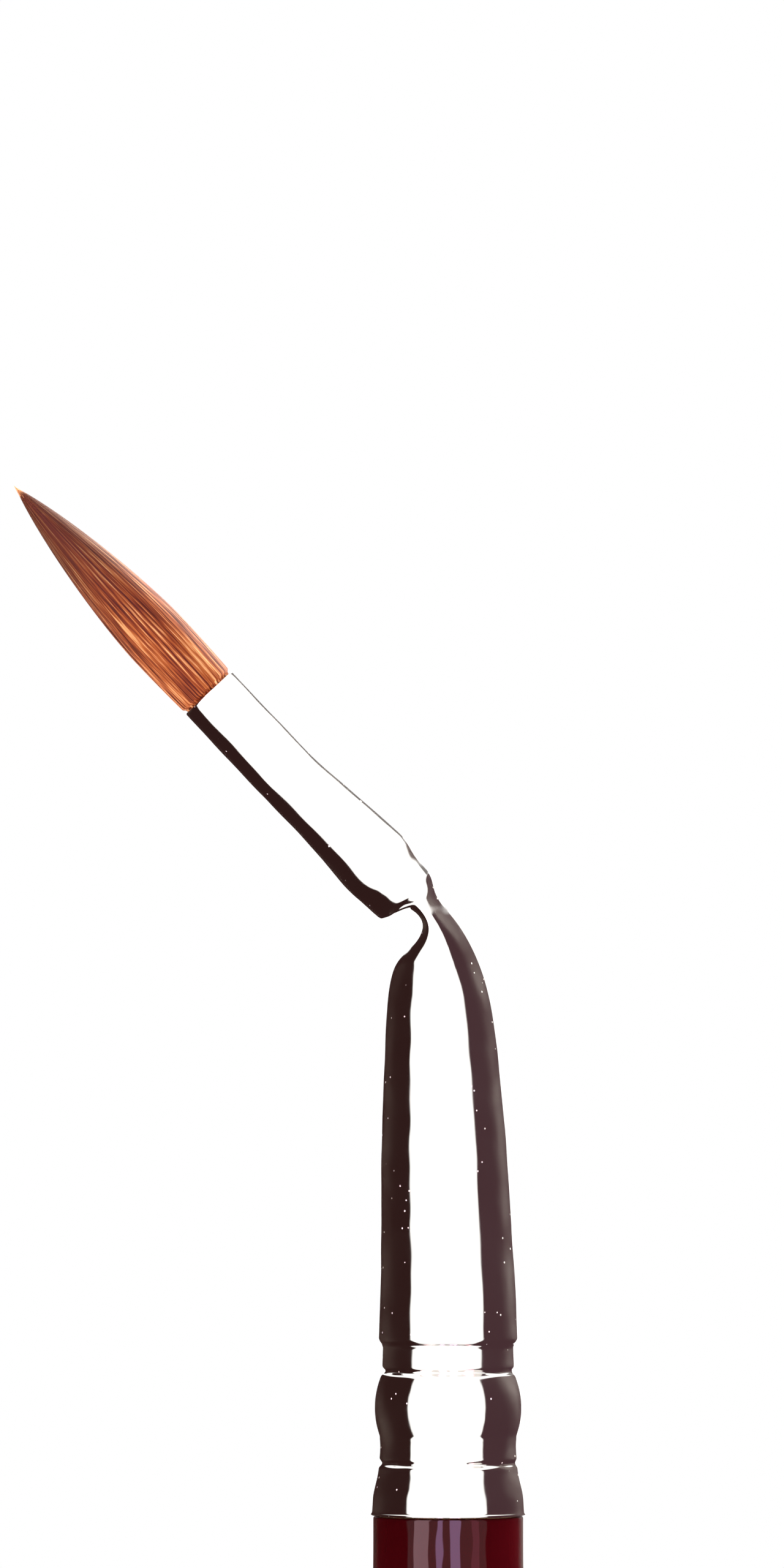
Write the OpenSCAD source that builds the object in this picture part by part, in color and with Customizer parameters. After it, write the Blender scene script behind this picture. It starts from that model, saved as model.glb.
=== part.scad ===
// Fine detail brush, millimetres.
// Z runs up the straight handle towards the head, which leans to -X. The origin is on the handle's
// axis at the middle of the cylindrical grip.

/* [Handle] */
// diameter of the grip, over the lacquer
grip_d = 7; // [6.6:0.1:7.6]
// length of the cylindrical grip
grip_len = 10; // [8:0.5:12]
// diameter of the handle where it meets the ferrule, over the lacquer
shoulder_d = 5.44; // [5.3:0.02:5.6]
// distance from the middle of the grip to the ferrule's rear rim
rim_z = 23; // [20:1:30]
// distance from the middle of the grip to the tail end
tail_len = 112; // [80:1:140]
// diameter at the tail end, over the lacquer
tail_d = 3; // [2.4:0.1:4]
// thickness of the lacquer coat
coat_t = 0.06; // [0.04:0.01:0.1]

/* [Tenon] */
// depth of the tenon inside the ferrule
tenon_len = 14; // [12:0.5:15]
// diameter of the tenon where it enters the ferrule
tenon_d = 4.96; // [4.7:0.02:5]
// diameter of the tenon's nose
nose_d = 3.6; // [3:0.1:3.8]

/* [Ferrule] */
// length along the centreline
ferrule_len = 33.2; // [32.8:0.1:33.6]
// wall thickness
wall = 0.14; // [0.1:0.01:0.18]
// outside diameter of the plain cone, taken back to the rear rim
body_d = 5.51; // [5.4:0.01:5.6]
// loss of radius per millimetre along the rear half
taper = 0.036; // [0.03:0.001:0.04]
// outside diameter of the slim neck
neck_d = 2.28; // [2.2:0.02:2.4]
// where the cone starts to close towards the neck
neck_from = 12.6; // [11:0.1:14]
// where the neck is reached
neck_to = 28.95; // [28:0.05:30]
// growth of the radius at the rear rim
rim_rise = 0.02; // [0:0.01:0.06]
// height of the rolled lip at the rear rim
lip_rise = 0.06; // [0.02:0.01:0.07]
// depth of the crimped bands
band_in = 0.16; // [0.1:0.01:0.18]
// depth of the sharp grooves in the crimps
groove_in = 0.1; // [0.04:0.01:0.12]
// rise of the bead between the crimps
bead_rise = 0.22; // [0.1:0.01:0.26]

/* [Bend] */
// angle of the mouth from the handle's axis
bend = 43.2; // [40:0.1:44]
// lean ahead of the kink
lean = 1.7; // [0:0.1:2.5]
// steepest angle just past the kink
steep = 54.2; // [50:0.1:55]
// distance of the kink's middle from the rear rim
kink_at = 22.6; // [22.4:0.1:22.8]
// depth the outer wall is pressed in at the kink
outer_in = 1.08; // [0.9:0.01:1.1]
// share of the buckle's depth that the rest of the inner wall takes
far_share = 0.86; // [0.6:0.01:0.95]
// depth of the buckle in the inner wall
buckle_in = 0.86; // [0.6:0.01:0.9]
// angle by which the buckle is turned towards -Y
buckle_turn = 30; // [20:1:40]
// half-width of the buckle round the tube, in degrees
buckle_arc = 52; // [40:1:60]

/* [Head] */
// free length of the hair
hair_len = 10.3; // [8:0.1:11]
// greatest diameter of the hair
hair_d = 2.46; // [2.3:0.02:2.6]
// distance of the flexing point beyond the ferrule's mouth
flex_up = 0.3; // [0.2:0.05:0.4]
// radius of the round hair seat in the mouth
seat_r = 0.95; // [0.9:0.01:0.96]
// diameter of the hair bundle inside the ferrule
bundle_d = 1.86; // [1.7:0.02:1.9]
// depth of the hair bundle inside the ferrule
bundle_len = 8; // [7:0.1:8.4]
// diameter of the binding thread
thread_d = 0.12; // [0.1:0.01:0.14]

/* [Hidden] */
$fn = 96;
fit_gap = 0.01;
seat_gap = 0.03;
sides = 40;
flare_end = 1.75;
bead_from = 2.87;
bead_to = 5.15;
band_to = 6.05;
plain_from = 6.45;
lean_from = 7;
lean_to = 9.45;
kink_before = 2.93;
kink_after = 1.54;
settle = 0.79;
sag = 3.45;
sag_at = 27.47;
sag_w = 1.61;
fold_full = 0.3;
cove_in = 0.03;
cove_from = 1.95;
cove_to = 2.8;
wood_colour = "burlywood";
coat_colour = "maroon";
plate_colour = "silver";
glue_colour = "khaki";
thread_colour = "ivory";
hair_colour = "saddlebrown";

// plain helpers
function clamp01(t) = min(1, max(0, t));
function ease(t) = t * t * (3 - 2 * t);
function smooth(a, b, s) = ease(clamp01((s - a) / (b - a)));
function bell(s, at, before, after) = exp(-pow((s - at) / (s < at ? before : after), 2));
function arch(s, a, b) = max(0, 1 - pow((2 * s - a - b) / (b - a), 2));
function steps(a, b, n) = [for (i = [0 : n - 1]) a + (b - a) * i / n];

// heading of the centreline, in degrees from the handle's axis
function heading(s) =
    lean * smooth(lean_from, lean_to, s)
    + (steep - lean) * smooth(kink_at - kink_before, kink_at + kink_after, s)
    - (steep - bend) * smooth(kink_at + kink_after, kink_at + kink_after + settle, s)
    + sag * bell(s, sag_at, sag_w, sag_w);

// centreline as running sums of short steps
path_n = 332;
path_step = ferrule_len / path_n;
path_x = [for (i = 0, x = 0; i <= path_n; x = x - path_step * sin(heading((i + 0.5) * path_step)), i = i + 1) x];
path_z = [for (i = 0, z = 0; i <= path_n; z = z + path_step * cos(heading((i + 0.5) * path_step)), i = i + 1) z];
function along(list, s) =
    let (t = clamp01(s / ferrule_len) * path_n, i = min(path_n - 1, floor(t)))
    list[i] + (list[i + 1] - list[i]) * (t - i);

// radius of the round tube before it was bent
function cone_r(s) =
    s >= neck_to ? neck_d / 2
    : body_d / 2 - taper * s
      - (body_d / 2 - taper * neck_to - neck_d / 2) * smooth(neck_from, neck_to, s);
function relief(s) =
    rim_rise * (1 - smooth(0, 1.2, s))
    + lip_rise * (1 - smooth(0.03, 0.13, s))
    - band_in * (smooth(0.6, flare_end, s) - smooth(band_to, plain_from, s))
    + bead_rise * arch(s, bead_from, bead_to)
    - cove_in * arch(s, cove_from, cove_to)
    - groove_in * (bell(s, 1.9, 0.11, 0.11) + bell(s, 5.24, 0.1, 0.1));
function tube_r(s) = cone_r(s) + relief(s);

// half-depths of the section at the kink: outer wall, deepest of the buckle, rest of the inner wall
function outer_r(s) =
    tube_r(s) - outer_in * bell(s, kink_at + 0.35, 2.69, 0.82) + 0.52 * bell(s, kink_at + 0.41, 0.62, 0.62);
function buckled_r(s) =
    tube_r(s) - buckle_in * bell(s, kink_at - 0.2, 1.87, 0.26) - 0.59 * bell(s, kink_at - 1.1, 0.93, 0.93);
function inner_r(s) = tube_r(s) - far_share * (tube_r(s) - buckled_r(s));
function half_w(s) =
    let (r = tube_r(s), a = (outer_r(s) + inner_r(s)) / 2)
    sqrt(2 * r * r - a * a);

// 1 leaves the inner wall round, less squares it off where it buckled
function fold_power(s) = 1 - 0.5 * smooth(0, fold_full, tube_r(s) - buckled_r(s));

// point of the section at angle f, 0 on the outer side of the bend, set in from the surface
function turned(f) = let (d = abs(f - 180 - buckle_turn)) min(d, 360 - d);
function section(s, f, inset) =
    let (
        c = cos(f),
        w = exp(-pow(turned(f) / buckle_arc, 2)),
        outer = (outer_r(s) - inset) * c,
        inner = (inner_r(s) - inset) * (1 - w) * c - (buckled_r(s) - inset) * w * pow(abs(c), fold_power(s))
    )
    [c > 0 ? outer : inner, (half_w(s) - inset) * sin(f)];
function tube_point(s, f, inset) =
    let (p = section(s, f, inset), h = heading(s))
    [along(path_x, s) + p[0] * cos(h), p[1], rim_z + along(path_z, s) + p[0] * sin(h)];
function ring(s, inset) = [for (i = [0 : sides - 1]) tube_point(s, 360 * i / sides, inset)];

// closed skin over a list of rings; wrapped joins the last ring to the first
module skin(rings, wrapped) {
    n = len(rings);
    last = wrapped ? n - 1 : n - 2;
    walls = [
        for (k = [0 : last], i = [0 : sides - 1])
            let (a = k * sides, b = ((k + 1) % n) * sides, j = (i + 1) % sides)
            each [[a + i, b + i, b + j], [a + i, b + j, a + j]]
    ];
    floor_face = [for (i = [0 : sides - 1]) i];
    roof_face = [for (i = [0 : sides - 1]) (n - 1) * sides + sides - 1 - i];
    polyhedron(
        points = [for (r = rings) each r],
        faces = wrapped ? walls : concat(walls, [floor_face, roof_face]),
        convexity = 10
    );
}

// stations along the ferrule: close at the crimps and the kink, wide elsewhere
outer_s = concat(
    steps(0.12, 6.6, 32),
    steps(6.6, 18.6, 10),
    steps(18.6, 24.2, 30),
    steps(24.2, ferrule_len - 0.05, 9)
);
inner_s = concat(
    steps(ferrule_len - 0.05, 24.2, 8),
    steps(24.2, 18.6, 22),
    steps(18.6, 6.6, 8),
    steps(6.6, 0.06, 16)
);

module ferrule() {
    outside = [for (s = concat([0.04], outer_s)) ring(s, 0)];
    mouth = [
        ring(ferrule_len - 0.05, 0),
        ring(ferrule_len, 0.05)
    ];
    inside = [for (s = inner_s) ring(s, wall)];
    rear = [ring(0, wall), ring(0, 0.04)];
    color(plate_colour)
    skin(concat(outside, mouth, [ring(ferrule_len, wall)], inside, rear), true);
}

// handle profile over the lacquer, from the tail's end to the rim
function handle_r(z) =
    z > grip_len / 2 ? grip_d / 2 - (grip_d - shoulder_d) / 2 * smooth(grip_len / 2, rim_z - 1, z)
    : z >= -grip_len / 2 ? grip_d / 2
    : tail_d / 2 + (grip_d - tail_d) / 2
      * pow(cos(90 * clamp01((-z - grip_len / 2) / (tail_len - tail_d / 2 - grip_len / 2))), 1.3);
tail_z = -tail_len + tail_d / 2;
handle_z = concat(
    steps(tail_z, -grip_len / 2, 30),
    [-grip_len / 2, grip_len / 2],
    steps(grip_len / 2 + 0.6, rim_z - 0.1, 16)
);
function tail_arc(r) = [for (a = [0 : 9 : 81]) [r * sin(a), tail_z - r * cos(a)]];

module handle_body(inset) {
    rotate_extrude()
    polygon(concat(
        tail_arc(tail_d / 2 - inset),
        [for (z = handle_z) [handle_r(z) - inset, z]],
        [[shoulder_d / 2 - inset, rim_z - 0.1], [shoulder_d / 2 - inset - 0.03, rim_z - 0.03], [0, rim_z - 0.03]]
    ));
}

// tenon profile: follows the ferrule's dents, then tapers to the nose
function tenon_r(s) =
    min(tenon_d / 2, tube_r(s) - wall - seat_gap, tenon_d / 2 - (tenon_d - nose_d) / 2 * smooth(5.6, tenon_len - 0.5, s));
tenon_s = concat(steps(0.1, 6.6, 32), steps(6.6, tenon_len - 0.4, 6));

module tenon_body() {
    rotate_extrude()
    polygon(concat(
        [[0, rim_z - 0.2], [tenon_d / 2, rim_z - 0.2]],
        [for (s = tenon_s) [tenon_r(s), rim_z + s]],
        [[nose_d / 2, rim_z + tenon_len - 0.4], [nose_d / 2 - 0.3, rim_z + tenon_len], [0, rim_z + tenon_len]]
    ));
}

module handle_core() {
    color(wood_colour)
    union() {
        handle_body(coat_t);
        tenon_body();
    }
}

module lacquer_coat() {
    color(coat_colour)
    difference() {
        handle_body(0);
        handle_body(coat_t);
        translate([0, 0, rim_z - 0.05])
        cylinder(d = tenon_d + 0.1, h = 1);
    }
}

// glue round the tenon's nose, filling the tube there
module tenon_glue() {
    glue_s = steps(tenon_len - 3.6, tenon_len + 1.6, 8);
    color(glue_colour)
    difference() {
        skin([for (s = glue_s) ring(s, wall + seat_gap)], false);
        translate([0, 0, rim_z + tenon_len - 5])
        cylinder(d1 = 2 * tenon_r(tenon_len - 5) + 0.02, d2 = nose_d + 0.02, h = 5.01);
    }
}

// moves children to the mouth of the ferrule, Z along the head
module at_mouth() {
    translate([along(path_x, ferrule_len), 0, rim_z + along(path_z, ferrule_len)])
    rotate([0, -bend, 0])
    children();
}

bind_z = -bundle_len + 1.6;
bind_turns = 4;

module hair_root() {
    color(hair_colour)
    at_mouth()
    difference() {
        translate([0, 0, -bundle_len])
        cylinder(d = bundle_d, h = bundle_len - 0.02);
        translate([0, 0, flex_up])
        sphere(r = seat_r + seat_gap);
        rotate_extrude()
        translate([bundle_d / 2 - thread_d * 0.55, bind_z - thread_d / 2 - fit_gap])
        square([1, bind_turns * thread_d * 0.96 + 3 * fit_gap]);
    }
}

module binding_thread() {
    color(thread_colour)
    at_mouth()
    rotate_extrude()
    for (i = [0 : bind_turns - 1])
        translate([bundle_d / 2 - thread_d * 0.55 + thread_d / 2 + fit_gap, bind_z + i * thread_d * 0.95])
        circle(d = thread_d, $fn = 24);
}

// resin that sets the cut ends of the hairs
module root_resin() {
    resin_s = steps(ferrule_len - bundle_len - 0.7, ferrule_len - bundle_len + 1.1, 9);
    color(glue_colour)
    difference() {
        skin([for (s = resin_s) ring(s, wall + seat_gap)], false);
        at_mouth()
        translate([0, 0, -bundle_len - fit_gap])
        cylinder(d = bundle_d + 2 * fit_gap, h = bundle_len);
    }
}

// free hair: round seat in the mouth, swelling belly, fine point
belly_at = 2.7;
seat_top_z = 0.62;
function hair_r(d) =
    d < belly_at
    ? hair_d / 2 - (hair_d / 2 - seat_r + 0.02) * pow(1 - (d - seat_top_z) / (belly_at - seat_top_z), 2)
    : hair_d / 2 * pow(1 - pow(clamp01((d - belly_at) / (hair_len - belly_at)), 1.55), 0.8);

module hair_tuft() {
    seat_top = asin(clamp01((seat_top_z - flex_up) / seat_r));
    color(hair_colour)
    at_mouth()
    rotate_extrude()
    polygon(concat(
        [for (a = [-90 : 6 : seat_top]) [seat_r * cos(a), flex_up + seat_r * sin(a)]],
        [for (d = steps(seat_top_z + 0.04, hair_len, 40)) [hair_r(d), d]],
        [[0, hair_len]]
    ));
}

handle_core();
lacquer_coat();
ferrule();
tenon_glue();
root_resin();
binding_thread();
hair_root();
hair_tuft();
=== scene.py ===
"""Fine detail brush: its finished look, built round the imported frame, in metres.

Z runs up the straight handle towards the head, the bent head leans to -X, and the origin is on the
handle's axis at the middle of the grip. Sizes in the classes are in millimetres unless they say so.
"""

import logging
import math
from dataclasses import dataclass, field
from enum import Enum
from typing import Optional, Sequence, Union

import bmesh
import bpy
import numpy as np
from mathutils import Matrix, Vector


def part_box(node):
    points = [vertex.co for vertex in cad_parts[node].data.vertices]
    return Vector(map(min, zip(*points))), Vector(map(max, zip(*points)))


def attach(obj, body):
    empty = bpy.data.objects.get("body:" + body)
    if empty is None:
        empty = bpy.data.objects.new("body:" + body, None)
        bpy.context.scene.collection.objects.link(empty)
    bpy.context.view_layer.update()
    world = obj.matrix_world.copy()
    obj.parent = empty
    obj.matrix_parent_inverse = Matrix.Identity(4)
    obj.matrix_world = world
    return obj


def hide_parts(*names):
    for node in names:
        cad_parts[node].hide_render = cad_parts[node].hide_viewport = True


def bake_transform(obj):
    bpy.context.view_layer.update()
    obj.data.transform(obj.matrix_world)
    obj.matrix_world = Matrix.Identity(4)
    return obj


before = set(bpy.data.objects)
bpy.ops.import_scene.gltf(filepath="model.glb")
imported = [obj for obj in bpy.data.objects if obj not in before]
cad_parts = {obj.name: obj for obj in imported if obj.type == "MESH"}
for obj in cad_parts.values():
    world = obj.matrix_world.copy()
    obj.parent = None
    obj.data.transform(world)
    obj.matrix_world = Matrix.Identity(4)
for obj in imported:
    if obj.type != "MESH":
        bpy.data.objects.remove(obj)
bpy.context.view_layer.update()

MM = 0.001
SEED = 7
LOG = logging.getLogger("brush")

Tree = bpy.types.NodeTree
Node = bpy.types.Node
Socket = bpy.types.NodeSocket
Piece = bpy.types.Object
Material = bpy.types.Material
Colour = tuple[float, float, float, float]
Value = Union[float, int, str, bool, Sequence[float], Socket, bpy.types.ID]
Inputs = dict[Union[str, int], Value]


class Body(str, Enum):
    """The frame's rigid bodies."""

    BRUSH = "brush"
    TUFT = "tuft"


class Part(str, Enum):
    """The frame's nodes."""

    HANDLE_CORE = "handle_core"
    LACQUER_COAT = "lacquer_coat"
    FERRULE = "ferrule"
    TENON_GLUE = "tenon_glue"
    ROOT_RESIN = "root_resin"
    BINDING_THREAD = "binding_thread"
    HAIR_ROOT = "hair_root"
    HAIR_TUFT = "hair_tuft"


class Slot(str, Enum):
    """The record's material slots."""

    LACQUER = "handle_lacquer"
    PLATE = "ferrule_plate"
    THREAD = "thread"
    HAIR_ROOT = "hair_root"
    HAIR = "hair"


def linear(hex_code: str) -> Colour:
    """Turns an sRGB hex colour into linear light.

    Args:
        hex_code: a hash and six hex digits.

    Returns:
        Red, green, blue and an alpha of 1.
    """
    shares = [int(hex_code[start : start + 2], 16) / 255.0 for start in (1, 3, 5)]
    light = [s / 12.92 if s <= 0.04045 else ((s + 0.055) / 1.055) ** 2.4 for s in shares]
    return (light[0], light[1], light[2], 1.0)


def feed(node: Node, inputs: Inputs) -> None:
    """Fills or links a node's inputs.

    Args:
        node: the node.
        inputs: socket name or number to a value, or to the output socket that feeds it.
    """
    for key, value in inputs.items():
        if isinstance(value, Socket):
            node.id_data.links.new(value, node.inputs[key])
        else:
            node.inputs[key].default_value = value


def add_node(tree: Tree, kind: str, inputs: Optional[Inputs] = None, **settings: Value) -> Node:
    """Adds a node, sets its properties and fills or links its inputs.

    Args:
        tree: the shader or geometry tree.
        kind: the node's type name.
        inputs: what feed takes.
        **settings: node properties.

    Returns:
        The new node.
    """
    node = tree.nodes.new(kind)
    for name, value in settings.items():
        setattr(node, name, value)
    feed(node, inputs or {})
    return node


def step(tree: Tree, operation: str, *values: Value) -> Socket:
    """Adds a math step and gives its result."""
    return add_node(tree, "ShaderNodeMath", dict(enumerate(values)), operation=operation).outputs[0]


def ranged(
    tree: Tree,
    value: Socket,
    low: Value,
    high: Value,
    start: Value = 0.0,
    end: Value = 1.0,
    kind: str = "SMOOTHSTEP",
) -> Socket:
    """Carries the range low to high over to start to end, eased unless the kind is LINEAR."""
    ends = {"Value": value, "From Min": low, "From Max": high, "To Min": start, "To Max": end}
    return add_node(tree, "ShaderNodeMapRange", ends, interpolation_type=kind).outputs[0]


def paint(tree: Tree, mask: Value, under: Value, over: Value) -> Socket:
    """Lays one colour over another where the mask is 1."""
    return add_node(tree, "ShaderNodeMix", {0: mask, 6: under, 7: over}, data_type="RGBA").outputs[2]


def noise(tree: Tree, place: Socket, scale: float, detail: float = 2.0, rough: float = 0.5) -> Socket:
    """Adds noise over a place, with so many cells to its unit."""
    values = {"Vector": place, "Scale": scale, "Detail": detail, "Roughness": rough}
    return add_node(tree, "ShaderNodeTexNoise", values).outputs["Fac"]


def stretch(tree: Tree, place: Socket, scale: tuple[float, float, float]) -> Socket:
    """Scales a place along each axis."""
    return add_node(tree, "ShaderNodeMapping", {"Vector": place, "Scale": scale}).outputs[0]


def own_place(tree: Tree) -> Socket:
    """Gives the place on the piece, in metres."""
    return add_node(tree, "ShaderNodeTexCoord").outputs["Object"]


def ramp(tree: Tree, value: Socket, stops: Sequence[tuple[float, str]]) -> Socket:
    """Turns a value into a colour.

    Args:
        tree: the tree.
        value: what picks the colour.
        stops: place and hex colour of each stop, in order.

    Returns:
        The colour.
    """
    node = add_node(tree, "ShaderNodeValToRGB", {"Fac": value})
    elements = node.color_ramp.elements
    while len(elements) < len(stops):
        elements.new(1.0)
    for element, (place, tone) in zip(elements, stops):
        element.position = place
        element.color = linear(tone)
    return node.outputs["Color"]


def emboss(shader: Node, height: Socket, strength: float, depth: float) -> None:
    """Raises the surface by a height; the depth is in millimetres."""
    values = {"Height": height, "Strength": strength, "Distance": depth * MM}
    feed(shader, {"Normal": add_node(shader.id_data, "ShaderNodeBump", values).outputs["Normal"]})


def smooth(low: float, high: float, value: np.ndarray) -> np.ndarray:
    """Eases from 0 at low to 1 at high."""
    share = np.clip((value - low) / (high - low), 0.0, 1.0)
    return share * share * (3.0 - 2.0 * share)


def bell(value: np.ndarray, middle: float, before: float, after: float) -> np.ndarray:
    """Rises to 1 at the middle, with its own width on each side."""
    width = np.where(value < middle, before, after)
    return np.exp(-(((value - middle) / width) ** 2))


def arch(value: np.ndarray, low: float, high: float) -> np.ndarray:
    """Parabola from 0 at both ends to 1 halfway."""
    return np.maximum(0.0, 1.0 - ((2.0 * value - low - high) / (high - low)) ** 2)


# ---- meshes


def add_piece(name: str, data: Optional[bpy.types.ID]) -> Piece:
    """Puts a new object with the given data in the scene.

    Args:
        name: the object's name.
        data: its mesh or camera.

    Returns:
        The object, at the origin.
    """
    piece = bpy.data.objects.new(name, data)
    bpy.context.scene.collection.objects.link(piece)
    return piece


def make_object(
    name: str,
    vertices: np.ndarray,
    faces: Sequence[Sequence[int]],
    uvs: Optional[np.ndarray] = None,
) -> Piece:
    """Makes a smooth-shaded mesh object whose faces point outwards.

    Args:
        name: the piece's name.
        vertices: points in metres, one row each.
        faces: vertex numbers of each face.
        uvs: one pair for each face corner, in face order, if the piece has a UV map.

    Returns:
        The object, at the origin, in the scene.
    """
    mesh = bpy.data.meshes.new(name)
    mesh.from_pydata([tuple(v) for v in vertices], [], [tuple(f) for f in faces])
    if uvs is not None:
        layer = mesh.uv_layers.new(name="surface")
        layer.data.foreach_set("uv", np.asarray(uvs, np.float32).ravel())
    work = bmesh.new()
    work.from_mesh(mesh)
    bmesh.ops.recalc_face_normals(work, faces=work.faces)
    work.to_mesh(mesh)
    work.free()
    mesh.polygons.foreach_set("use_smooth", [True] * len(mesh.polygons))
    mesh.update()
    return add_piece(name, mesh)


def ring_faces(rows: int, sides: int, closed: bool) -> list[tuple[int, int, int, int]]:
    """Numbers the quads between rings of vertices.

    Args:
        rows: how many rings there are.
        sides: vertices in each ring.
        closed: whether the last ring joins the first.

    Returns:
        One tuple of four vertex numbers for each quad.
    """
    faces = []
    for row in range(rows if closed else rows - 1):
        here, there = row * sides, ((row + 1) % rows) * sides
        for side in range(sides):
            other = (side + 1) % sides
            faces.append((here + side, there + side, there + other, here + other))
    return faces


def ring_uvs(places: Sequence[float], sides: int) -> list[tuple[float, float]]:
    """Lays turns and a place along over the quads of ring_faces.

    Args:
        places: the rings' places along; closed skins repeat the first at the end.
        sides: vertices in each ring.

    Returns:
        One pair for each corner, in face order.
    """
    uvs = []
    for here, there in zip(places, places[1:]):
        for side in range(sides):
            left, right = side / sides, (side + 1) / sides
            uvs += [(left, here), (left, there), (right, there), (right, here)]
    return uvs


def lathe(name: str, profile: Sequence[tuple[float, float]], sides: int) -> Piece:
    """Turns a profile about Z into a closed skin.

    Args:
        name: the piece's name.
        profile: radius and height pairs in millimetres; it starts and ends on the axis.
        sides: facets round the axis.

    Returns:
        The turned piece. Its UV map holds turns and height in centimetres.
    """
    inner = profile[1:-1]
    angles = np.arange(sides) * 2.0 * math.pi / sides
    rows = [
        np.stack([r * np.cos(angles), r * np.sin(angles), np.full(sides, z)], axis=1)
        for r, z in inner
    ]
    vertices = np.concatenate(rows + [[[0.0, 0.0, profile[0][1]], [0.0, 0.0, profile[-1][1]]]])
    faces: list[Sequence[int]] = list(ring_faces(len(inner), sides, False))
    uvs = ring_uvs([z / 10.0 for _, z in inner], sides)
    first, last = len(inner) * sides, len(inner) * sides + 1
    top = (len(inner) - 1) * sides
    for side in range(sides):
        other = (side + 1) % sides
        left, right = side / sides, (side + 1) / sides
        faces.append((first, side, other))
        uvs += [(left, profile[0][1] / 10.0), (left, inner[0][1] / 10.0), (right, inner[0][1] / 10.0)]
        faces.append((last, top + other, top + side))
        uvs += [(left, profile[-1][1] / 10.0), (right, inner[-1][1] / 10.0), (left, inner[-1][1] / 10.0)]
    return make_object(name, vertices * MM, faces, np.array(uvs))


def wear(piece: Piece, material: Material) -> None:
    """Gives a piece one material."""
    piece.data.materials.clear()
    piece.data.materials.append(material)


def mount(piece: Piece, material: Material, part: Part) -> None:
    """Dresses a piece, lets it ride on the brush and stand for a frame node.

    Args:
        piece: the fine piece.
        material: its finish.
        part: the frame node it replaces.
    """
    wear(piece, material)
    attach(piece, Body.BRUSH.value)
    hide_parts(part.value)
    LOG.info("%s: %d faces", piece.name, len(piece.data.polygons))


# ---- finishes


@dataclass(frozen=True)
class Finish:
    """One real material and the way its surface was made."""

    name: str

    def build(self) -> Material:
        """Makes the material and lets the finish lay its nodes.

        Returns:
            The material, with a Principled shader joined to its output.
        """
        material = bpy.data.materials.new(self.name)
        material.use_nodes = True
        tree = material.node_tree
        tree.nodes.clear()
        shader = add_node(tree, "ShaderNodeBsdfPrincipled")
        add_node(tree, "ShaderNodeOutputMaterial", {"Surface": shader.outputs["BSDF"]})
        self.lay(tree, shader)
        return material

    def lay(self, tree: Tree, shader: Node) -> None:
        """Lays the finish's own nodes; each finish has its own."""
        raise NotImplementedError


@dataclass(frozen=True)
class NickelPlate(Finish):
    """Bright nickel over drawn brass: mirror-like, with faint lines left along the drawn tube."""

    name: str = "bright_nickel_plate"
    tone: str = "#e5e2dc"
    film: str = "#dcd8d5"
    line_width: float = 0.05
    line_length: float = 6.0
    girth: float = 15.0

    def lay(self, tree: Tree, shader: Node) -> None:
        """Lays drawing lines along the tube and soft handling marks.

        Args:
            tree: the material's tree.
            shader: its Principled shader.
        """
        surface = add_node(tree, "ShaderNodeUVMap", uv_map="surface").outputs["UV"]
        # the map holds turns round the tube and centimetres along it
        across = self.girth / self.line_width / 4.0
        lines = stretch(tree, surface, (across, 10.0 / self.line_length, 1.0))
        drawn = noise(tree, lines, 4.0, 3.0, 0.6)
        place = own_place(tree)
        # smears of handling, about 1.5 mm across
        smears = noise(tree, place, 1.0 / (1.5 * MM), 4.0)
        gloss = ranged(tree, smears, 0.35, 0.75, 0.045, 0.1, "LINEAR")
        # the finger film also takes a little off the plate's brightness
        film = paint(tree, smears, linear(self.tone), linear(self.film))
        # specks of dust, about 0.04 mm, scatter light where the plate would mirror the dark
        cells = {"Vector": place, "Scale": 1.0 / (0.45 * MM)}
        specks = add_node(tree, "ShaderNodeTexVoronoi", cells).outputs["Distance"]
        dusty = ranged(tree, specks, 0.05, 0.1, 0.75, 0.0, "LINEAR")
        rough = step(tree, "MAXIMUM", gloss, dusty)
        feed(shader, {"Metallic": 1.0, "Base Color": film, "Roughness": rough})
        emboss(shader, drawn, 0.06, 0.004)


@dataclass(frozen=True)
class BurgundyLacquer(Finish):
    """Dipped nitrocellulose lacquer, nearly black red, with a wet gloss and slight orange peel."""

    name: str = "dipped_burgundy_lacquer"
    tone: str = "#1f0103"
    tone_thin: str = "#320206"
    peel: float = 1.1

    def lay(self, tree: Tree, shader: Node) -> None:
        """Lays the depth of colour and the peel.

        Args:
            tree: the material's tree.
            shader: its Principled shader.
        """
        # the gloss hazes where the coat is seen edge on
        facing = add_node(tree, "ShaderNodeLayerWeight", {"Blend": 0.5}).outputs["Facing"]
        haze = ranged(tree, facing, 0.6, 0.92, 0.035, 0.5)
        place = own_place(tree)
        # coat thickness drifts over about 9 mm, which lets more red through where it is thin
        drift = noise(tree, place, 1.0 / (9.0 * MM))
        tone = paint(tree, drift, linear(self.tone), linear(self.tone_thin))
        feed(shader, {"IOR": 1.45, "Specular IOR Level": 0.14, "Base Color": tone, "Roughness": haze})
        # orange peel, drawn out down the handle as the dip ran off
        peel = noise(tree, stretch(tree, place, (1.0, 1.0, 0.6)), 1.0 / (self.peel * MM), 1.0)
        emboss(shader, peel, 0.9, 0.035)


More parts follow.
